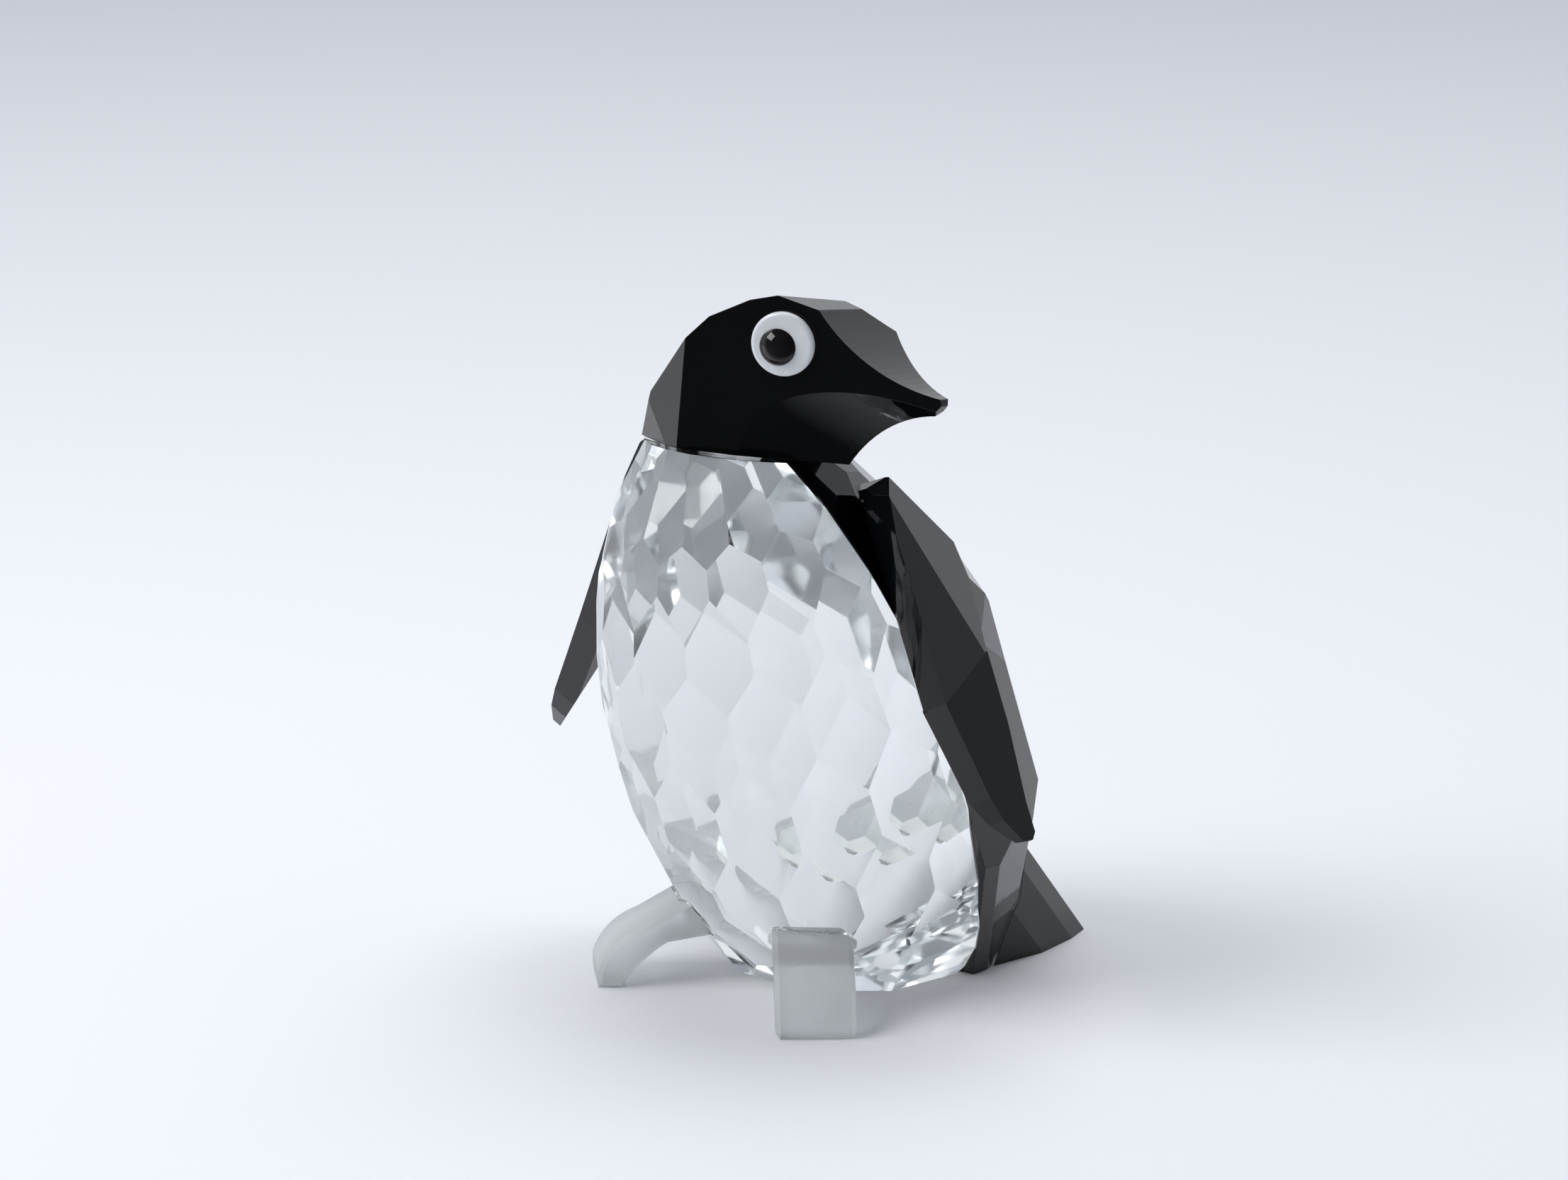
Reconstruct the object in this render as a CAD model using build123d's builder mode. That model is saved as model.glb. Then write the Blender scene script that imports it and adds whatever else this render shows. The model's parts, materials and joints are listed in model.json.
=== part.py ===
"""Penguin figurine of cut glass.

Every piece starts as rough stock and is ground flat by flat, the way such glass is cut.
The finished pieces are glued together with thin films of clear adhesive.
Millimetres and degrees. +Z is up, the belly faces -Y and the penguin's left is +X.
The origin is on the ground, in the middle of the figurine.
"""
from build123d import *
import os
from math import atan, cos, degrees, radians, sin, sqrt, tan

os.makedirs("parts", exist_ok=True)

# Films between the glass pieces.
bond_film = 0.15
mirror_film = 0.15

# The egg-shaped body, round about an axis that leans forward from the ground.
body_radius = 14.8
body_half_length = 28.0
girth_share = 0.75
body_lean = 21.9
body_setback = 4.6
facets_round = 16
clear_row_shares = (0.82, 0.68, 0.535, 0.285, 0, -0.27, -0.48, -0.64)
black_crown_shares = (0.82, 0.68)
black_row_shares = (0.535, 0.285, 0, -0.6)
black_crown_inset = 2.3
clear_half_turn = 105.0
seam_advance = 1.5
base_bevel_setback = 0.8
base_bevel_share = 0.595
base_bevel_slope = 41.0
base_bevel_turns = (-120, -80, -40, 0, 40, 80, 120)

# The neck, where the body is ground flat and the head sits, up the body's axis from its girth.
neck_share = 0.849
neck_back = 0.97
neck_shift = 0.3
head_turn = 94.0
head_roll = 8.0

# The head, measured from the neck: ahead to the beak's tip, sideways and up.
beak_reach = 17.0
beak_height = 5.8
beak_half_width = 0.5
head_half_width = 7.3
head_height = 12.0
nape_reach = 8.2
nape_lean = 6.0
beak_end_lean = 10.0
beak_under_lean = -40.0
cheek_taper = 20.0
cheek_flare = 7.0
bridge_radius = 12.3
bridge_ahead = 18.75
bridge_height = 18.05
throat_radius = 9.86
throat_ahead = 17.64
throat_drop = 5.24
throat_sweep_share = 1.056
throat_rise_share = 0.657

# The eyes on the cheeks. The left one was glued a little further ahead and lower.
eye_ahead = 6.1
eye_height = 8.6
left_eye_advance = 1.0
left_eye_drop = 1.6
eye_radius = 2.35
eye_thickness = 0.45
eye_rounding = 0.3
pupil_radius = 1.35
pupil_height = 0.75
pupil_back = 0.3
pupil_drop = 0.2

# The wings: an arm that leans as the body's side does and a flipper bent outwards at the elbow.
# The elbow stands off the body's side, ahead of its axis and up from its girth.
elbow_side_share = 1.189
elbow_ahead = 1.95
elbow_share = 0.283
arm_lean_share = 0.7644
arm_width = 7.7
arm_length_share = 0.575
arm_depth = 4.3
wing_bend = 6.0
crease_slope = 24.6
flipper_width = 6.1
flipper_length = 12.0
flipper_depth = 2.5
flipper_taper = 2.0

# The tail: a faceted skirt that slopes down behind the body to the ground.
tail_slope = 49.3
tail_stand_off = 2.1
tail_width_share = 0.676
tail_front_share = 0.27
tail_height = 10.0

# The feet: bent strips of frosted glass. Toes and length are shares of the body's radius.
toe_side_share = 0.736
toe_advance_share = 1.061
foot_splay = 43.0
foot_length_share = 0.838
foot_height = 9.0
foot_width = 5.9
foot_bevel = 0.35

overrun = 4.0

# Sizes that follow the body's.
girth_height = girth_share * body_half_length
base_bevel_reach = base_bevel_share * body_radius
neck_rise = girth_height + neck_share * body_half_length
elbow_side = elbow_side_share * body_radius
elbow_rise = girth_height + elbow_share * body_half_length
arm_lean = degrees(atan(arm_lean_share * body_radius / body_half_length))
arm_length = arm_length_share * body_half_length
tail_reach = body_radius + tail_stand_off
tail_half_width = tail_width_share * body_radius
tail_front = tail_front_share * body_radius
foot_length = foot_length_share * body_radius


def grind(flats):
    """Grind the piece under way flat by flat: what lies outside each flat goes."""
    for flat in flats:
        split(bisect_by=flat, keep=Keep.BOTTOM)


def flat_in(frame, place, turn, rise):
    """A flat through a place in a frame, facing turn degrees round from its x axis and rise up."""
    level = frame.x_dir * cos(radians(turn)) + frame.y_dir * sin(radians(turn))
    outward = level * cos(radians(rise)) + frame.z_dir * sin(radians(rise))
    return Plane(origin=frame.from_local_coords(place), z_dir=outward)


def scaled(shares, sizes):
    """A place given as shares of the sizes."""
    return tuple(share * size for share, size in zip(shares, sizes))


def flats_in(frame, sizes, flat_shares):
    """Flats in a frame. Each is given by its place as shares of the sizes, its turn and its rise."""
    return [flat_in(frame, scaled(place, sizes), turn, rise) for place, turn, rise in flat_shares]


ground = Plane(origin=(0, 0, 0), z_dir=(0, 0, -1))

# The body. Its frame has z up the leaning axis and y towards the back.
lean = radians(body_lean)
body_frame = Plane(
    origin=(0, body_setback, 0), x_dir=(1, 0, 0), z_dir=(0, -sin(lean), cos(lean))
)
head_ahead = Vector(sin(radians(head_turn)), -cos(radians(head_turn)), 0)
head_level = Vector(head_ahead.Y, -head_ahead.X, 0)
head_up = Vector(0, 0, 1) * cos(radians(head_roll)) - head_level * sin(radians(head_roll))
neck_point = body_frame.from_local_coords((neck_shift, neck_back, neck_rise))
head_frame = Plane(origin=neck_point, x_dir=head_ahead, z_dir=head_up)


def body_flat(turn, rise_share):
    """A flat that touches the egg: turn runs from the belly towards the penguin's left."""
    rise = rise_share * body_half_length
    reach = body_radius * sqrt(1 - rise_share**2)
    level = body_frame.x_dir * sin(radians(turn)) - body_frame.y_dir * cos(radians(turn))
    point = body_frame.origin + level * reach + body_frame.z_dir * (girth_height + rise)
    outward = level * (reach / body_radius**2) + body_frame.z_dir * (rise / body_half_length**2)
    return Plane(origin=point, z_dir=outward)


def row_flats(row_shares, first_turn, last_turn):
    """Rows of flats round the egg, each row half a flat further round than the one above."""
    pitch = 360 / facets_round
    flats = []
    for row, rise_share in enumerate(row_shares):
        for step in range(facets_round):
            turn = (step + 0.5 * (row % 2)) * pitch
            if first_turn <= turn <= last_turn:
                flats.append(body_flat(turn, rise_share))
    return flats


clear_flats = row_flats(clear_row_shares, 0, clear_half_turn)
clear_flats += row_flats(clear_row_shares, 360 - clear_half_turn, 360)
black_turns = (180 - clear_half_turn, 180 + clear_half_turn)
black_flats = [flat.offset(-black_crown_inset) for flat in row_flats(black_crown_shares, *black_turns)]
black_flats += row_flats(black_row_shares, *black_turns)
for turn in base_bevel_turns:
    bevel_place = (
        base_bevel_reach * sin(radians(turn)),
        base_bevel_setback - base_bevel_reach * cos(radians(turn)),
        0,
    )
    clear_flats.append(flat_in(Plane.XY, bevel_place, turn - 90, -base_bevel_slope))
print("flats on the clear half", len(clear_flats), "and on the black half", len(black_flats))


def ground_egg(flats, growth):
    """The egg as one solid inside all its flats, each moved out by growth."""
    with BuildPart() as egg:
        with BuildSketch(body_frame.offset(-overrun)):
            Circle(body_radius + overrun)
        extrude(amount=girth_height + body_half_length + overrun)
        grind([ground.offset(growth), head_frame.offset(growth - bond_film)])
        grind([flat.offset(growth) for flat in flats])
    return egg.part


clear_egg = ground_egg(clear_flats, 0)
black_egg = ground_egg(black_flats, 0)
clear_egg_grown = ground_egg(clear_flats, bond_film)
black_egg_grown = ground_egg(black_flats, bond_film)

seam_point = body_frame.origin - body_frame.y_dir * seam_advance
seam = Plane(origin=seam_point, z_dir=body_frame.y_dir)

with BuildPart() as body_front:
    add(clear_egg)
    split(bisect_by=seam.offset(-mirror_film), keep=Keep.BOTTOM)
body_front.part.label = "body_front"
export_step(body_front.part, "parts/body_front.step")

with BuildPart() as mirror_layer:
    add(clear_egg)
    split(bisect_by=seam.offset(-mirror_film), keep=Keep.TOP)
    split(bisect_by=seam, keep=Keep.BOTTOM)
mirror_layer.part.label = "mirror_layer"
export_step(mirror_layer.part, "parts/mirror_layer.step")

with BuildPart() as body_back:
    add(black_egg)
    split(bisect_by=seam, keep=Keep.TOP)
body_back.part.label = "body_back"
export_step(body_back.part, "parts/body_back.step")

# The body as its neighbours meet it, with and without the film of adhesive.
with BuildPart() as whole_body:
    add(body_front.part)
    add(mirror_layer.part)
    add(body_back.part)
with BuildPart() as clear_side:
    add(clear_egg_grown)
    split(bisect_by=seam, keep=Keep.BOTTOM)
with BuildPart() as black_side:
    add(black_egg_grown)
    split(bisect_by=seam, keep=Keep.TOP)
with BuildPart() as grown_body:
    add(clear_side.part)
    add(black_side.part)


def fitted(stock):
    """Stock ground to sit on the body, one film away from it."""
    with BuildPart() as piece:
        add(stock)
        add(grown_body.part, mode=Mode.SUBTRACT)
    return piece.part


def film_under(stock):
    """The film of adhesive between the body and stock that is fitted to it."""
    with BuildPart() as film:
        add(stock)
        add(grown_body.part, mode=Mode.INTERSECT)
        add(whole_body.part, mode=Mode.SUBTRACT)
    return film.part


# The head. Each flat: a place as shares of the head's sizes, then turn and rise.
head_sizes = (beak_reach, head_half_width, head_height)
crown_flat_shares = (
    ((0.330, -0.750, 1.000), 5, 76.3),
    ((0.351, 0.120, 0.982), 63, 62),
    ((0.224, -0.836, 0.958), 156, 70),
    ((0.047, -0.945, 0.825), 170, 60),
    ((-0.053, -1.000, 0.675), 177, 43),
)
rear_flat_shares = (
    ((-0.082, 0.890, 0.000), 110, -4),
    ((-0.165, 0.822, 0.000), 120, -12),
    ((-0.278, 0.768, 0.367), 150, 11),
    ((-0.278, 0.768, 0.367), 150, 22.5),
)


def cheek_flat(side):
    """The flat cheek on one side, which spreads backwards and upwards from the beak."""
    place = (beak_reach, side * beak_half_width, beak_height)
    return flat_in(head_frame, place, side * (90 - cheek_taper), -cheek_flare)


head_flats = [-head_frame] + flats_in(head_frame, head_sizes, crown_flat_shares)
for side in (1, -1):
    head_flats.append(cheek_flat(side))
    for (ahead, across, height), turn, rise in rear_flat_shares:
        place = scaled((ahead, side * across, height), head_sizes)
        head_flats.append(flat_in(head_frame, place, side * turn, rise))
beak_end = (beak_reach, 0, beak_height)
beak_under = (beak_reach, 0, beak_height - beak_half_width)
head_flats.append(flat_in(head_frame, (-nape_reach, 0, 0), 180, nape_lean))
head_flats.append(flat_in(head_frame, beak_end, 0, beak_end_lean))
head_flats.append(flat_in(head_frame, beak_under, 0, beak_under_lean))

head_side = Plane(origin=head_frame.origin, x_dir=head_frame.x_dir, z_dir=-head_frame.y_dir)
with BuildPart() as head:
    with BuildSketch(head_frame.offset(-overrun)):
        Rectangle(2 * (beak_reach + overrun), 2 * (head_half_width + overrun))
    extrude(amount=head_height + 2 * overrun)
    grind(head_flats)
    with BuildSketch(head_side):
        with Locations((bridge_ahead, bridge_height)):
            Circle(bridge_radius)
    extrude(amount=head_half_width + overrun, both=True, mode=Mode.SUBTRACT)
    for side in (1, -1):
        sweep = head_frame.z_dir * throat_rise_share - head_frame.x_dir * throat_sweep_share
        with BuildSketch(head_side):
            with Locations((throat_ahead, -throat_drop)):
                Circle(throat_radius)
        extrude(
            amount=head_half_width + overrun,
            dir=head_frame.y_dir * side + sweep,
            mode=Mode.SUBTRACT,
        )
head.part.label = "head"
export_step(head.part, "parts/head.step")

with BuildPart() as head_bond:
    extrude(head.faces().sort_by(Axis(head_frame.origin, head_frame.z_dir))[0], amount=bond_film)
    add(grown_body.part, mode=Mode.INTERSECT)
head_bond.part.label = "head_bond"
export_step(head_bond.part, "parts/head_bond.step")


def eye_frame(side, ahead, height):
    """A frame on the cheek in the middle of an eye, with x towards the back of the head."""
    cheek = cheek_flat(side)
    spread = (beak_reach - ahead) * tan(radians(cheek_taper))
    spread += (height - beak_height) * tan(radians(cheek_flare)) / cos(radians(cheek_taper))
    place = (ahead, side * (beak_half_width + spread), height)
    backwards = head_frame.z_dir.cross(cheek.z_dir) * side
    return Plane(origin=head_frame.from_local_coords(place), x_dir=backwards, z_dir=cheek.z_dir)


# The eyes: on each cheek a white disc with a black domed pupil.
eye_places = (
    (1, "left", eye_ahead + left_eye_advance, eye_height - left_eye_drop),
    (-1, "right", eye_ahead, eye_height),
)
for side, name, ahead, height in eye_places:
    frame = eye_frame(side, ahead, height)
    disc_foot = frame.offset(bond_film)
    disc_top = disc_foot.offset(eye_thickness)
    with BuildPart() as eye_bond:
        with BuildSketch(frame):
            Circle(eye_radius)
        extrude(amount=bond_film)
    eye_bond.part.label = "eye_bond_" + name
    export_step(eye_bond.part, f"parts/eye_bond_{name}.step")

    with BuildPart() as eye_white:
        with BuildSketch(disc_foot):
            Circle(eye_radius)
        extrude(amount=eye_thickness)
        rim = eye_white.edges().sort_by(Axis(disc_foot.origin, disc_foot.z_dir))[-1]
        fillet(rim, radius=eye_rounding)
    eye_white.part.label = "eye_white_" + name
    export_step(eye_white.part, f"parts/eye_white_{name}.step")

    ball_radius = (pupil_radius**2 + pupil_height**2) / (2 * pupil_height)
    ball_place = (pupil_back, -side * pupil_drop, pupil_height - ball_radius)
    with BuildPart() as pupil:
        with Locations(disc_top.from_local_coords(ball_place)):
            Sphere(ball_radius)
        split(bisect_by=disc_top, keep=Keep.TOP)
    pupil.part.label = "pupil_" + name
    export_step(pupil.part, f"parts/pupil_{name}.step")

# The left wing. Its frames have x towards the back, y up along the arm and z outwards.
arm_frame = Plane(
    origin=body_frame.from_local_coords((elbow_side, -elbow_ahead, elbow_rise)),
    x_dir=(0, 1, 0),
    z_dir=(cos(radians(arm_lean)), 0, sin(radians(arm_lean))),
)
crease = arm_frame.x_dir * cos(radians(crease_slope)) + arm_frame.y_dir * sin(radians(crease_slope))
above_crease = arm_frame.z_dir.cross(crease)
flipper_out = arm_frame.z_dir * cos(radians(wing_bend)) + above_crease * sin(radians(wing_bend))
flipper_back = flipper_out.cross(arm_frame.x_dir).cross(flipper_out)
flipper_frame = Plane(origin=arm_frame.origin, x_dir=flipper_back, z_dir=flipper_out)

# The mitre through the crease, where arm and flipper meet. It faces the flipper.
between = (arm_frame.z_dir + flipper_out).normalized()
mitre = Plane(origin=arm_frame.origin, z_dir=crease.cross(between))
inner_place = arm_frame.origin - between * (flipper_depth / cos(radians(wing_bend / 2)))
inner_facing = crease.cross(flipper_out) * sin(radians(flipper_taper))
inner_facing -= flipper_out * cos(radians(flipper_taper))
flipper_inside = Plane(origin=inner_place, z_dir=inner_facing)

# Outlines as shares of width and length.
arm_outline_shares = (
    (-0.208, -0.248),
    (-0.208, 0.901),
    (-0.143, 0.975),
    (-0.013, 1.000),
    (0.766, 0.634),
    (0.788, 0.459),
    (0.565, 0.118),
    (0.545, -0.248),
)
flipper_outline_shares = (
    (-0.262, 0.333),
    (-0.262, -0.067),
    (-0.180, -0.400),
    (-0.115, -0.683),
    (-0.033, -0.833),
    (0.148, -0.983),
    (0.311, -1.000),
    (0.393, -0.958),
    (0.426, -0.775),
    (0.607, -0.292),
    (0.705, 0.167),
    (0.730, 0.350),
)

# The wing's other flats: a place as shares of the sizes, then turn and rise.
arm_sizes = (arm_width, arm_length, arm_depth)
flipper_sizes = (flipper_width, flipper_length, flipper_depth)
arm_flat_shares = (
    ((0.519, 0.118, 0), 22, 72),
    ((-0.142, 0.914, 0), 170, 14),
    ((-0.142, 0.914, 0), 135, 19.5),
    ((-0.208, 0, -0.535), 180, -45),
)
flipper_flat_shares = (((0.426, -0.775, -0.160), -18, -64),)

with BuildPart() as arm_stock:
    with BuildSketch(arm_frame):
        Polygon(*[scaled(pair, arm_sizes) for pair in arm_outline_shares], align=None)
    extrude(amount=-arm_depth)
    grind([mitre])
    grind(flats_in(arm_frame, arm_sizes, arm_flat_shares))
with BuildPart() as flipper_stock:
    with BuildSketch(flipper_frame):
        Polygon(*[scaled(pair, flipper_sizes) for pair in flipper_outline_shares], align=None)
    extrude(amount=-(flipper_depth + overrun))
    grind([-mitre, flipper_inside])
    grind(flats_in(flipper_frame, flipper_sizes, flipper_flat_shares))
with BuildPart() as wing_stock:
    add(arm_stock.part)
    add(flipper_stock.part)

# The tail, from a block behind the seam. Its frame has z up along the sloping edges.
tail_frame = Plane(
    origin=(0, tail_reach, 0),
    x_dir=(1, 0, 0),
    z_dir=(0, -cos(radians(tail_slope)), sin(radians(tail_slope))),
)
tail_flat_shares = (
    ((0.990, 0.000, 0), 21),
    ((1.070, -0.258, 0), 8),
    ((1.103, -0.490, 0), -12),
)
tail_flats = [flat_in(tail_frame, (0, 0, 0), 90, 0)]
for place, turn in tail_flat_shares:
    across, behind, along = scaled(place, (tail_half_width, tail_half_width, 0))
    tail_flats.append(flat_in(tail_frame, (across, behind, along), turn, 0))
    tail_flats.append(flat_in(tail_frame, (-across, behind, along), 180 - turn, 0))
with BuildPart() as tail_stock:
    with BuildSketch():
        with Locations((0, tail_front)):
            Rectangle(4 * tail_half_width, tail_reach, align=(Align.CENTER, Align.MIN))
    extrude(amount=tail_height)
    grind(tail_flats)

# The left foot: a strip drawn from the side, with x pointing out over the toes.
toes_out = Vector(sin(radians(foot_splay)), -cos(radians(foot_splay)), 0)
toe_point = (toe_side_share * body_radius, -toe_advance_share * body_radius, 0)
foot_frame = Plane(origin=toe_point, x_dir=toes_out, z_dir=toes_out.cross(Vector(0, 0, 1)))
foot_outline_shares = (
    (0.000, 0.000),
    (0.000, 0.133),
    (-0.077, 0.322),
    (-0.266, 0.500),
    (-0.911, 1.000),
    (-1.000, 0.489),
    (-0.419, 0.367),
    (-0.258, 0.194),
    (-0.145, 0.000),
)
foot_points = [scaled(pair, (foot_length, foot_height)) for pair in foot_outline_shares]
with BuildPart() as foot_stock:
    with BuildSketch(foot_frame):
        with BuildLine():
            Line(foot_points[0], foot_points[1])
            ThreePointArc(foot_points[1], foot_points[2], foot_points[3])
            Polyline(foot_points[3], foot_points[4], foot_points[5], foot_points[6])
            ThreePointArc(foot_points[6], foot_points[7], foot_points[8])
            Line(foot_points[8], foot_points[0])
        make_face()
    extrude(amount=foot_width / 2, both=True)
    sides = foot_stock.faces().sort_by(Axis(foot_frame.origin, foot_frame.z_dir))
    chamfer(sides[0].edges() + sides[-1].edges(), length=foot_bevel)

# The pieces that are glued to the body, each with its film.
with BuildPart() as tail:
    add(fitted(tail_stock.part))
tail.part.label = "tail"
export_step(tail.part, "parts/tail.step")

with BuildPart() as tail_bond:
    add(film_under(tail_stock.part))
tail_bond.part.label = "tail_bond"
export_step(tail_bond.part, "parts/tail_bond.step")

for stock, name in ((wing_stock, "wing"), (foot_stock, "foot")):
    with BuildPart() as left_piece:
        add(fitted(stock.part))
    left_piece.part.label = name + "_left"
    export_step(left_piece.part, f"parts/{name}_left.step")

    with BuildPart() as right_piece:
        add(left_piece.part)
        mirror(about=Plane.YZ, mode=Mode.REPLACE)
    right_piece.part.label = name + "_right"
    export_step(right_piece.part, f"parts/{name}_right.step")

    with BuildPart() as left_film:
        add(film_under(stock.part))
    left_film.part.label = name + "_bond_left"
    export_step(left_film.part, f"parts/{name}_bond_left.step")

    with BuildPart() as right_film:
        add(left_film.part)
        mirror(about=Plane.YZ, mode=Mode.REPLACE)
    right_film.part.label = name + "_bond_right"
    export_step(right_film.part, f"parts/{name}_bond_right.step")
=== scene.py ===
# %% [markdown]
# A small penguin of cut glass. The belly is one clear piece with a silvered back, and the back,
# head, wings and tail are black glass. Glass has hardly a colour of its own: what we see is the
# room, bent and mirrored. So this lesson spends its care on three things: true materials, glued
# faces that look as they do in real glass, and a room that is worth mirroring.
#
# The imported model already holds every piece at its real size and place, so it is loaded first.
# Nothing that is added here may make the figurine larger.

import json
from math import cos, radians, sin

import bmesh
import bpy
import numpy as np
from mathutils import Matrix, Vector


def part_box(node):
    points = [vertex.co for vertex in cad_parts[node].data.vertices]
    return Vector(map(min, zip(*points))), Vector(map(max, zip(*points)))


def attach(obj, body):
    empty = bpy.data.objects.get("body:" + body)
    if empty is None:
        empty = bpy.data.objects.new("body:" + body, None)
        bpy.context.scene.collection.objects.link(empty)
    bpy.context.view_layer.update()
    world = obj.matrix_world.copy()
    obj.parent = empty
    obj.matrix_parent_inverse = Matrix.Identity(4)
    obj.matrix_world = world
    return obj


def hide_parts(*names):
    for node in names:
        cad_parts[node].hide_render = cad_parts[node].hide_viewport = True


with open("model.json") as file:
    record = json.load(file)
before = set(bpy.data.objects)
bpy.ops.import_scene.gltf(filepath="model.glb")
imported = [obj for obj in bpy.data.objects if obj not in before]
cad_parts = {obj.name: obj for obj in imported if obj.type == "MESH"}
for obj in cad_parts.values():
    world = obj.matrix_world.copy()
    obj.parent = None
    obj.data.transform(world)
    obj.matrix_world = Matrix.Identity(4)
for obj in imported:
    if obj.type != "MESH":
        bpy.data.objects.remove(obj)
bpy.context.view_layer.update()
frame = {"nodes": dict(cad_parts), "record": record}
nodes = frame["nodes"]
scene = bpy.context.scene
mm = 0.001

# %% [markdown]
# Polished glass looks perfect from afar, but its shine is never even: wiping and handling leave
# faint films that soften a reflection here and there. One even roughness would be simpler, but it
# looks like plastic. So each finish below lets a soft noise move its roughness, and mostly its
# colour too. The noise reads Object coordinates, which stay with the piece when it is seen from
# another side.

# %% Helpers: a material, and a noise over the piece
noise_detail = 3.0


def finish(name, **settings):
    """A new material and its Principled node, with plain values set on the node's own sockets."""
    material = bpy.data.materials.new(name)
    material.use_nodes = True
    shader = material.node_tree.nodes["Principled BSDF"]
    for socket, value in settings.items():
        shader.inputs[socket.replace("_", " ")].default_value = value
    return material, shader


def noise(material, size, density=(1, 1, 1)):
    """Noise over the piece, with blobs about size across, in metres: Object coordinates times
    density / size. A density of a half along one axis makes the blobs twice as long that way."""
    tree = material.node_tree
    place = tree.nodes.new("ShaderNodeTexCoord")
    scale = tree.nodes.new("ShaderNodeMapping")
    scale.inputs["Scale"].default_value = [share / size for share in density]
    pattern = tree.nodes.new("ShaderNodeTexNoise")
    pattern.inputs["Scale"].default_value = 1.0
    pattern.inputs["Detail"].default_value = noise_detail
    tree.links.new(place.outputs["Object"], scale.inputs["Vector"])
    tree.links.new(scale.outputs["Vector"], pattern.inputs["Vector"])
    return pattern.outputs["Fac"]


print("noise with a detail of", noise_detail)

# %% Helpers: from the noise to a roughness and a colour
# Most of the noise lies between these two.
noise_low, noise_high = 0.35, 0.65


def spread(material, source, low, high, start=noise_low, end=noise_high):
    """The source's values from start to end, spread evenly from low to high and held beyond:
    low + (high - low) * (source - start) / (end - start)."""
    node = material.node_tree.nodes.new("ShaderNodeMapRange")
    node.inputs["From Min"].default_value = start
    node.inputs["From Max"].default_value = end
    node.inputs["To Min"].default_value = low
    node.inputs["To Max"].default_value = high
    material.node_tree.links.new(source, node.inputs["Value"])
    return node.outputs["Result"]


def tint(material, source, first, second):
    """A colour that runs from first to second while the source runs from zero to one:
    first + (second - first) * source."""
    node = material.node_tree.nodes.new("ShaderNodeMix")
    node.data_type = "RGBA"
    node.inputs["A"].default_value = (*first, 1)
    node.inputs["B"].default_value = (*second, 1)
    material.node_tree.links.new(source, node.inputs["Factor"])
    return node.outputs["Result"]


def plug(material, source, shader, socket):
    """Joins a worked-out value to one of the shader's sockets."""
    material.node_tree.links.new(source, shader.inputs[socket])


def uneven_finish(name, size, roughness, tones=None, density=(1, 1, 1), **settings):
    """A finish whose roughness follows a noise of that size between two values. Its colour
    follows the same noise between two tones, or is even where no tones are given."""
    material, shader = finish(name, **settings)
    pattern = noise(material, size, density)
    plug(material, spread(material, pattern, *roughness), shader, "Roughness")
    if tones:
        plug(material, tint(material, pattern, *tones), shader, "Base Color")
    return material, shader


print("noise counted from", noise_low, "to", noise_high)

# %% [markdown]
# Clear glass. Lead-free cut glass bends light a little more than window glass, so its index of
# refraction is 1.54. A shader with full transmission mirrors and bends light by that one number.
# Its colour is almost white, because light is tinted anew each time it passes the surface.

# %% Clear glass
glass_index = 1.54
clear_glass, shader = uneven_finish(
    "clear_cut_glass", size=9 * mm, roughness=(0.0, 0.012),
    Transmission_Weight=1.0, IOR=glass_index, Base_Color=(0.985, 0.99, 0.995, 1),
)
print("index of the glass", glass_index)

# %% [markdown]
# Black glass is opaque: nothing but its polished skin shows. The skin mirrors about 4.5 percent of
# the light head on and almost all of it at a glancing angle, and the shader works that out from
# the same index, so it needs no coat. Its wiping marks are twice as long upwards as across.

# %% Black glass
black_glass, shader = uneven_finish(
    "black_cut_glass", size=6 * mm, density=(1, 1, 0.5), roughness=(0.01, 0.045),
    tones=((0.002, 0.003, 0.004), (0.005, 0.005, 0.006)), IOR=glass_index,
)
mirrored_head_on = ((glass_index - 1) / (glass_index + 1)) ** 2
print("mirrored head on", round(mirrored_head_on, 3))

# %% [markdown]
# Frosted glass lets light through, but its etched skin scatters it. Light that wanders below the
# surface would be slow to work out on pieces this thin. So three quarters of the light go through
# a rough skin, the rest comes back as from chalk, and a very fine grain breaks up the highlights.

# %% Frosted glass
etching_size, etching_depth = 0.12 * mm, 0.02 * mm


def grain(material, shader, source, depth):
    """Fine relief on the surface: the source's values as heights up to depth, in metres."""
    bump = material.node_tree.nodes.new("ShaderNodeBump")
    bump.inputs["Distance"].default_value = depth
    material.node_tree.links.new(source, bump.inputs["Height"])
    material.node_tree.links.new(bump.outputs["Normal"], shader.inputs["Normal"])


frosted_glass, shader = uneven_finish(
    "frosted_glass", size=4 * mm, roughness=(0.42, 0.6),
    tones=((0.80, 0.82, 0.83), (0.90, 0.91, 0.92)), Transmission_Weight=0.75, IOR=glass_index,
)
grain(frosted_glass, shader, noise(frosted_glass, etching_size), etching_depth)
print("etching in mm: across", etching_size / mm, "deep", etching_depth / mm)

# %% [markdown]
# The back of the belly is silvered, which is why clear glass looks white there. Silver is a metal
# shader with hardly any roughness. The places where head and feet are glued on would pass light
# into the neighbour and back. Softer and duller mirrors stand in for that light: mottled under
# the head, and satin where the feet sit.

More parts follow.
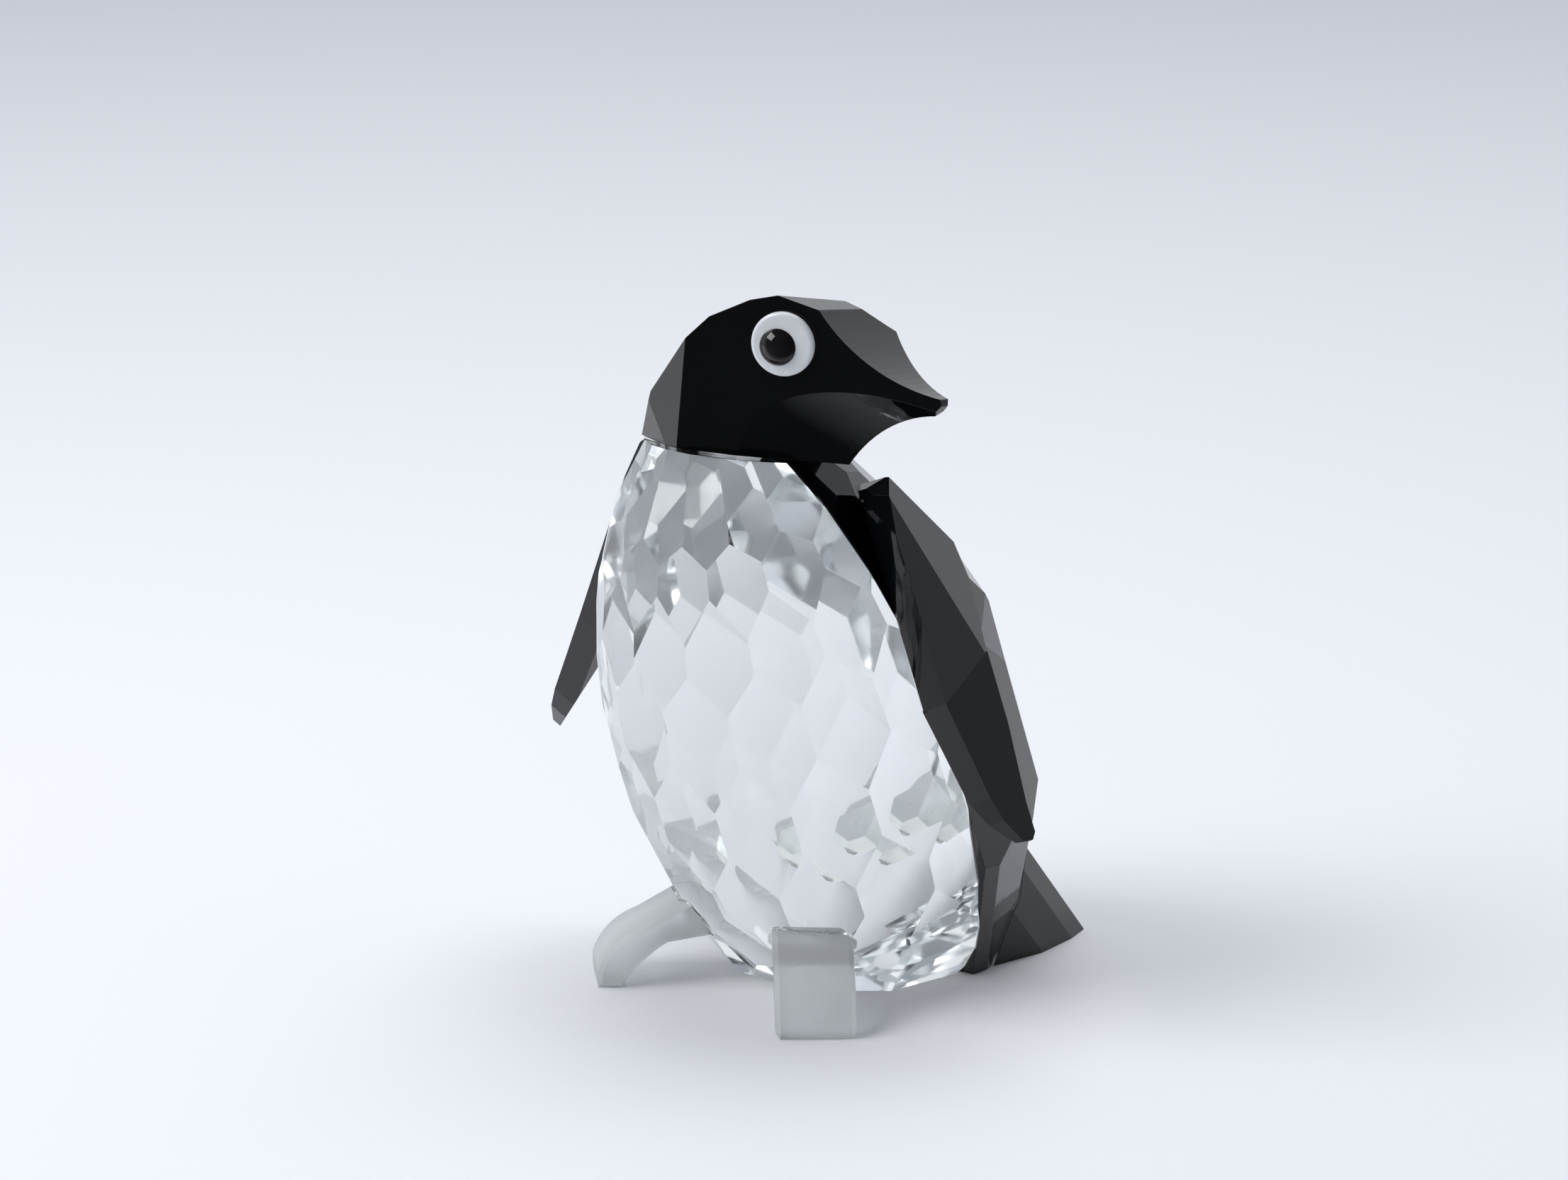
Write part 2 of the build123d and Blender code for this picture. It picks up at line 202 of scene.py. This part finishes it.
# %% Silvering and the glued faces
silvering, shader = uneven_finish(
    "silvering", size=5 * mm, roughness=(0.01, 0.05),
    tones=((0.94, 0.95, 0.96), (0.97, 0.98, 0.98)), Metallic=1.0,
)
glued_neck, shader = uneven_finish(
    "glued_neck", size=3 * mm, roughness=(0.05, 0.15),
    tones=((0.84, 0.87, 0.87), (0.93, 0.95, 0.94)), Metallic=1.0,
)
glued_foot, shader = uneven_finish(
    "glued_foot", size=1.5 * mm, roughness=(0.16, 0.3),
    tones=((0.80, 0.82, 0.81), (0.90, 0.91, 0.90)), Metallic=1.0,
)
print("faces behind clear glass", [face.name for face in (silvering, glued_neck, glued_foot)])

# %% [markdown]
# The adhesive cures clear, and bends light almost as the glass does. It isn't polished, so it is
# rougher than the glass, and in some places more than in others.

# %% Adhesive
adhesive_index = 1.5
adhesive, shader = uneven_finish(
    "cured_adhesive", size=1.5 * mm, roughness=(0.03, 0.15),
    Transmission_Weight=1.0, IOR=adhesive_index, Base_Color=(0.97, 0.97, 0.96, 1),
)
print("index of the adhesive", adhesive_index)

# %% [markdown]
# An eye is a white disc with a black bead on it. The disc is milky and a little rough below, with
# a wet gloss on top, so it gets a coat. The bead is nothing but gloss over black, and its colour
# follows a second noise, so that colour and gloss don't change in the same places.

# %% The eyes
bead_index, bead_blob = 1.5, 1 * mm
bead_tones = (0.006, 0.006, 0.008), (0.016, 0.014, 0.016)
eye_white, shader = uneven_finish(
    "eye_white_enamel", size=1.2 * mm, roughness=(0.18, 0.3),
    tones=((0.80, 0.83, 0.86), (0.88, 0.90, 0.92)), Coat_Weight=0.6, Coat_Roughness=0.04,
)
eye_black, shader = uneven_finish(
    "eye_black_bead", size=0.8 * mm, roughness=(0.03, 0.1), IOR=bead_index
)
plug(eye_black, tint(eye_black, noise(eye_black, bead_blob), *bead_tones), shader, "Base Color")
print("eyes", eye_white.name, eye_black.name)

# %% [markdown]
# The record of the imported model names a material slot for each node. Filling the slots from one
# table gives every piece its finish at once, also the ones that are seen only through the glass.

# %% Give each node its finish
finishes = {
    "clear_glass": clear_glass, "black_glass": black_glass, "frosted_glass": frosted_glass,
    "mirror_coating": silvering, "adhesive": adhesive, "eye_white": eye_white, "eye_black": eye_black,
}
slots = {subpart["node"]: subpart["material_slot"] for subpart in frame["record"]["subparts"]}
for node, slot in slots.items():
    nodes[node].data.materials.clear()
    nodes[node].data.materials.append(finishes[slot])
print("finishes", sorted(finishes))

# %% [markdown]
# Where two pieces of real glass are glued, the adhesive has nearly the same index as the glass, so
# the joint stops mirroring and we look straight through it at the neighbour. A ray tracer would
# need a perfect contact for that, and two faces in the same place only confuse it. So pieces that
# need more than a finish get a merged copy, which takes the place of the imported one. The films
# of adhesive and the silvering get copies drawn in by a hundredth of a millimetre, so that no
# face lies in another.

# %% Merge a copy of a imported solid
weld_reach = 0.0005 * mm
flat_turn = radians(0.3)


def merged_copy(node, name, draw_in=0.0):
    """A copy of a CAD node's mesh with its corners merged and its flat triangles joined.
    Each corner then moves draw_in inwards along its normal."""
    mesh = nodes[node].data.copy()
    mesh.name = name
    work = bmesh.new()
    work.from_mesh(mesh)
    bmesh.ops.remove_doubles(work, verts=work.verts, dist=weld_reach)
    bmesh.ops.dissolve_limit(work, angle_limit=flat_turn, verts=work.verts, edges=work.edges)
    bmesh.ops.recalc_face_normals(work, faces=work.faces)
    work.normal_update()
    for corner in work.verts:
        corner.co -= corner.normal * draw_in
    work.to_mesh(mesh)
    work.free()
    piece = bpy.data.objects.new(name, mesh)
    scene.collection.objects.link(piece)
    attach(piece, "root")
    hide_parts(node)
    return piece


print("corners merge within", weld_reach / mm, "mm")

# %% The films, drawn in
film_gap = 0.01 * mm
for node, slot in slots.items():
    if slot in ("adhesive", "mirror_coating"):
        merged_copy(node, node + ".film", film_gap)
print("films drawn in by", film_gap / mm, "mm")

# %% [markdown]
# The belly. Its glued faces carry their neighbour's look: silvering on the seam, a bright mottled
# face under the head and a satin spot at each foot. The seam and the neck's seat are whole faces,
# but a foot covers only a part of some facets. Its spot could be painted by a mask in the
# material. Cutting its outline into the mesh is better: the edge stays crisp however close we
# look, and each face has one plain finish, which also survives an export.

# %% Where each foot is glued
side_sign = {"left": 1, "right": -1}
glued_share = 1.1
spot_planes = 8
# The toes point outwards, so a spot runs this far to the back for each step to its own side.
spot_slant = 0.93


def glue_spot(side):
    """The middle of a foot's glued spot, and the outward normals and places of the planes round
    it. They touch an ellipse that is glued_share times as wide and high as the film. The plane
    turned by an angle lies hypot(half width * cos, half height * sin) away from the middle."""
    film = np.array([v.co for v in nodes["foot_bond_" + side].data.vertices])
    across = np.array([1.0, spot_slant * side_sign[side], 0.0])
    across /= np.linalg.norm(across)
    upright = np.array([0.0, 0.0, 1.0])
    low, high = film.min(axis=0), film.max(axis=0)
    sideways = film @ across
    half = np.array([np.ptp(sideways), high[2] - low[2]]) / 2 * glued_share
    middle = (low + high) / 2
    middle += across * ((sideways.max() + sideways.min()) / 2 - middle @ across)
    turns = np.arange(spot_planes) * 2 * np.pi / spot_planes
    normals = np.cos(turns)[:, None] * across + np.sin(turns)[:, None] * upright
    reach = np.hypot(half[0] * np.cos(turns), half[1] * np.sin(turns))
    return middle, normals, middle + normals * reach[:, None]


spots = {side: glue_spot(side) for side in side_sign}
print("spots at", {side: np.round(spot[0] / mm, 1).tolist() for side, spot in spots.items()})

# %% Cut the spots' outlines into the belly
spot_reach = 9 * mm
cut_reach = 0.0001 * mm


def lies_near(face, middle):
    """Whether the face's own middle is less than spot_reach from a spot's middle."""
    return (face.calc_center_median() - Vector(middle)).length < spot_reach


belly = merged_copy("body_front", "belly")
work = bmesh.new()
work.from_mesh(belly.data)
seam_way = max(work.faces, key=lambda face: face.calc_area()).normal.copy()
for middle, normals, places in spots.values():
    for normal, place in zip(normals, places):
        near = [face for face in work.faces if lies_near(face, middle)]
        parts = set(near)
        parts |= {edge for face in near for edge in face.edges}
        parts |= {corner for face in near for corner in face.verts}
        bmesh.ops.bisect_plane(
            work, geom=list(parts), plane_co=place, plane_no=normal, dist=cut_reach
        )
print("faces of the belly", len(work.faces))

# %% Give each face of the belly its look
belly.data.materials.clear()
for material in (clear_glass, silvering, glued_neck, glued_foot):
    belly.data.materials.append(material)
clear_slot, silver_slot, neck_slot, foot_slot = range(4)
# A face belongs to the seam if this much of its normal points as the seam's does, and to the
# neck's seat if this much of it points up.
seam_match, neck_match = 0.999, 0.97
neck_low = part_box("head_bond")[0]
neck_slack = 0.1 * mm

for face in work.faces:
    middle = face.calc_center_median()
    face.material_index = clear_slot
    if face.normal.dot(seam_way) > seam_match:
        face.material_index = silver_slot
    elif middle.z > neck_low.z - neck_slack and face.normal.z > neck_match:
        face.material_index = neck_slot
    for spot_middle, normals, places in spots.values():
        inside = ((np.array(middle) - places) * normals).sum(axis=1).max() < 0
        if inside and lies_near(face, spot_middle):
            face.material_index = foot_slot
areas = np.zeros(len(belly.data.materials))
for face in work.faces:
    areas[face.material_index] += face.calc_area() / mm**2
work.to_mesh(belly.data)
work.free()
print("belly areas in square mm: clear, silvered, neck, feet", np.round(areas, 1))

# %% [markdown]
# No ground edge is perfectly sharp: the last polish takes a few hundredths of a millimetre off,
# and that hairline catches the light. On black glass it is what draws the edges, so each black
# piece gets a merged copy with a very narrow bevel. Edges that turn less than the limit belong to
# a curved surface and stay smooth; only the head and the feet have such surfaces. Frosting eats
# more from an edge than polishing does, so the feet's edges are the roundest.

# %% Black pieces and feet with eased edges
bevel_steps = 2
bevel_widths = {"black_glass": 0.05 * mm, "frosted_glass": 0.16 * mm}
smooth_degrees = {
    "head": 9, "body_back": 3, "wing_left": 3, "wing_right": 3, "tail": 3,
    "foot_left": 12, "foot_right": 12,
}
for node, degrees in smooth_degrees.items():
    piece = merged_copy(node, node + ".eased")
    piece.data.shade_smooth()
    piece.data.set_sharp_from_angle(angle=radians(degrees))
    bevel = piece.modifiers.new("eased_edges", "BEVEL")
    bevel.width = bevel_widths[slots[node]]
    bevel.segments = bevel_steps
    bevel.limit_method = "ANGLE"
    bevel.angle_limit = radians(degrees)
    bevel.harden_normals = True
print("eased", sorted(smooth_degrees))

# %% [markdown]
# The floor. It is a flat pale disc, so wide that it runs out to the horizon, and its paper is
# painted dimmer away from the figurine: a painted falloff of light. A wall behind the figurine
# would be the usual choice, but the figurine is looked at from every side, and from behind a wall
# would hide it. The floor lies a hair below the figurine, so that no two faces share a place.

# %% A round floor
floor_radius, floor_steps = 3.0, 96
floor_gap = 0.02 * mm


def level_ring(radius, steps, height):
    """Corners of a level ring: radius * (cos, sin) of evenly spaced turns, all at one height."""
    turns = np.linspace(0, 2 * np.pi, steps, endpoint=False)
    return np.stack([np.cos(turns) * radius, np.sin(turns) * radius, np.full(steps, height)], -1)


rim = level_ring(floor_radius, floor_steps, -floor_gap)
floor_mesh = bpy.data.meshes.new("floor")
floor_mesh.from_pydata(rim.tolist(), [], [list(range(floor_steps))])
floor = bpy.data.objects.new("floor", floor_mesh)
scene.collection.objects.link(floor)
print("floor", 2 * floor_radius, "m across")

# %% [markdown]
# Camera, floor, lamps and room all need directions. One helper gives them: it starts at the way
# the belly faces, turns towards the penguin's left, and rises above level. Another measures a
# vector, either its length or how far it reaches along such a direction.

# %% Directions
view_turn, view_drop = radians(41.0), radians(15.5)


def direction(turn, rise):
    """The unit vector (sin turn * cos rise, -cos turn * cos rise, sin rise)."""
    return Vector((sin(turn) * cos(rise), -cos(turn) * cos(rise), sin(rise)))


def measure(material, operation, source, way=None):
    """A vector's LENGTH, or its DOT_PRODUCT with a way: how far it reaches along it."""
    node = material.node_tree.nodes.new("ShaderNodeVectorMath")
    node.operation = operation
    material.node_tree.links.new(source, node.inputs[0])
    if way is not None:
        node.inputs[1].default_value = way
    return node.outputs["Value"]


print("towards the camera", [round(part, 3) for part in direction(view_turn, view_drop)])

# %% [markdown]
# Light Path tells a material how a ray has arrived. That lets the stage look different straight
# on and in a mirror, while the glass itself is never touched. In the polished black skin, the
# paper on the camera's side is painted dark, a painted shade that stands in for the dark of the
# room, and without that the black glass would look grey.

# %% Helpers for rays that were mirrored


def mirrored_only(material):
    """One for light that was mirrored last: glossy minus transmitted, and never below zero,
    because light that came through glass counts as glossy too."""
    light_path = material.node_tree.nodes.new("ShaderNodeLightPath")
    difference = material.node_tree.nodes.new("ShaderNodeMath")
    difference.operation = "SUBTRACT"
    difference.use_clamp = True
    material.node_tree.links.new(light_path.outputs["Is Glossy Ray"], difference.inputs[0])
    material.node_tree.links.new(light_path.outputs["Is Transmission Ray"], difference.inputs[1])
    return difference.outputs["Value"]


def choose(material, flag, first, second):
    """The first colour where the flag is zero and the second where it is one."""
    node = material.node_tree.nodes.new("ShaderNodeMix")
    node.data_type = "RGBA"
    for socket, source in (("Factor", flag), ("A", first), ("B", second)):
        material.node_tree.links.new(source, node.inputs[socket])
    return node.outputs["Result"]


def fade(material, source, start, end, first, second):
    """The first colour up to start, the second from end on, and an even change between them."""
    return tint(material, spread(material, source, 0.0, 1.0, start, end), first, second)


print("a ray was mirrored last where it is glossy and not transmitted")

# %% The paper on the floor
near_paper, far_paper_painted_dim, paper_painted_dark = (0.83, 0.84, 0.87), (0.56, 0.58, 0.62), (0.02, 0.02, 0.025)
# The paper is painted palest within the first distance from the figurine, and darkest past the
# second: a painted falloff of light, since the paper itself is one colour.
near_reach, far_reach = 80 * mm, 800 * mm
# In a mirror it starts to be painted darker this far towards the camera, and is painted dark from
# there on: painted shade for the dark room on the camera's side.
lit_reach, dark_reach = 15 * mm, 55 * mm
paper, shader = finish("pale_paper", Roughness=0.9)
where = paper.node_tree.nodes.new("ShaderNodeTexCoord").outputs["Object"]

from_middle = measure(paper, "LENGTH", where)
# Painted light: the paper is painted paler near the figurine and dimmer farther off.
floor_with_painted_falloff = fade(paper, from_middle, near_reach, far_reach, near_paper, far_paper_painted_dim)
# Painted shade: in mirrored rays the paper towards the camera is painted dark.
towards_camera = measure(paper, "DOT_PRODUCT", where, direction(view_turn, 0))
mirrored_floor = fade(paper, towards_camera, lit_reach, dark_reach, near_paper, paper_painted_dark)
plug(paper, choose(paper, mirrored_only(paper), floor_with_painted_falloff, mirrored_floor), shader, "Base Color")
floor_mesh.materials.append(paper)
print("paper from", near_paper, "to", far_paper_painted_dim)

# %% [markdown]
# Two soft boxes light the stage: one from the front on the penguin's right, and one from above
# and behind. Small lamps would give hard white dots on every facet. Large ones give sheets of
# light, and the gaps between them are the darkest facets.

# %% Soft boxes
lamp_aim = Vector((0, -3 * mm, 27 * mm))
box_power = 1.6


def soft_box(name, turn, rise, distance, width, height):
    """A rectangular lamp that looks at the figurine from distance metres away. It stands turn
    degrees from the belly's way towards the penguin's left and rise degrees above level."""
    way = direction(radians(turn), radians(rise))
    lamp = bpy.data.lights.new(name, "AREA")
    lamp.shape = "RECTANGLE"
    lamp.size = width
    lamp.size_y = height
    lamp.energy = box_power
    box = bpy.data.objects.new(name, lamp)
    box.location = lamp_aim + way * distance
    box.rotation_euler = way.to_track_quat("Z", "Y").to_euler()
    scene.collection.objects.link(box)


soft_box("key_box", turn=-35, rise=42, distance=0.55, width=0.36, height=0.26)
soft_box("top_box", turn=200, rise=70, distance=0.60, width=0.50, height=0.35)
print("soft boxes of", box_power, "W each")

# %% [markdown]
# The room round the stage is a colour for each direction, and each way a ray can arrive has a
# room of its own. Dull surfaces have one that is pale but for the camera's side. To rays that were
# mirrored it is pale behind the figurine and dark on the camera's side, so that black glass stays
# black. Through the belly it is the other way round: the silvering sends the light back, so what
# we see in it is the camera's side. The camera itself sees the far floor's colour as its sky, so
# that the horizon hardly shows.

# %% The room's own light
world = bpy.data.worlds.new("room")
scene.world = world
world.use_nodes = True
room_rise = radians(20)
ray_way = world.node_tree.nodes.new("ShaderNodeTexCoord").outputs["Generated"]
facing = measure(world, "DOT_PRODUCT", ray_way, direction(view_turn, room_rise))

# Start and end are cosines of the angle between a ray and the camera's side.
ambient = fade(
    world, facing, start=0.35, end=0.75, first=(0.56, 0.59, 0.64), second=(0.05, 0.055, 0.065)
)
mirrored = fade(
    world, facing, start=-0.35, end=0.25, first=(0.80, 0.83, 0.88), second=(0.008, 0.010, 0.014)
)
seen_through = fade(
    world, facing, start=-0.1, end=0.5, first=(0.30, 0.33, 0.37), second=(0.96, 0.98, 1.0)
)
horizon = world.node_tree.nodes.new("ShaderNodeRGB").outputs["Color"]
horizon.default_value = (*far_paper_painted_dim, 1)

light_path = world.node_tree.nodes.new("ShaderNodeLightPath")
room = choose(world, mirrored_only(world), ambient, mirrored)
room = choose(world, light_path.outputs["Is Transmission Ray"], room, seen_through)
room = choose(world, light_path.outputs["Is Camera Ray"], room, horizon)
background = world.node_tree.nodes["Background"]
background.inputs["Strength"].default_value = 1.0
world.node_tree.links.new(room, background.inputs["Color"])
print("room", [link.from_node.name for link in background.inputs["Color"].links])

# %% [markdown]
# Inside the belly a ray of light is turned back many times before it finds its way out. Blender
# gives up after a dozen turns at most, and a ray that is given up is a black speck. Twice as many
# are enough here and cost little time.

# %% Light paths
longest_path = 24
scene.cycles.max_bounces = longest_path
scene.cycles.glossy_bounces = longest_path
scene.cycles.transmission_bounces = longest_path
print("turns of a ray", longest_path)

# %% [markdown]
# The camera stands to the left of the way the belly faces, as the penguin sees it, and a little
# above. It is nearly half a metre away with a long lens, so there is hardly any perspective: the
# near foot isn't much larger than the far one. The plain Standard view shows colours as written.

# %% Camera
# Blender takes the lens and the sensor in millimetres.
lens_length, sensor_width = 146.5, 36.0
aim = Vector((2.80, -9.95, 31.24)) * mm
view_distance, nearest_view = 465 * mm, 10 * mm

backwards = direction(view_turn, view_drop)
lens = bpy.data.cameras.new("camera")
lens.lens = lens_length
lens.sensor_width = sensor_width
lens.clip_start = nearest_view
camera = bpy.data.objects.new("camera", lens)
camera.location = aim + backwards * view_distance
camera.rotation_euler = backwards.to_track_quat("Z", "Y").to_euler()
scene.collection.objects.link(camera)
scene.camera = camera
scene.view_settings.view_transform = "Standard"
print("camera at", [round(part, 3) for part in camera.location])
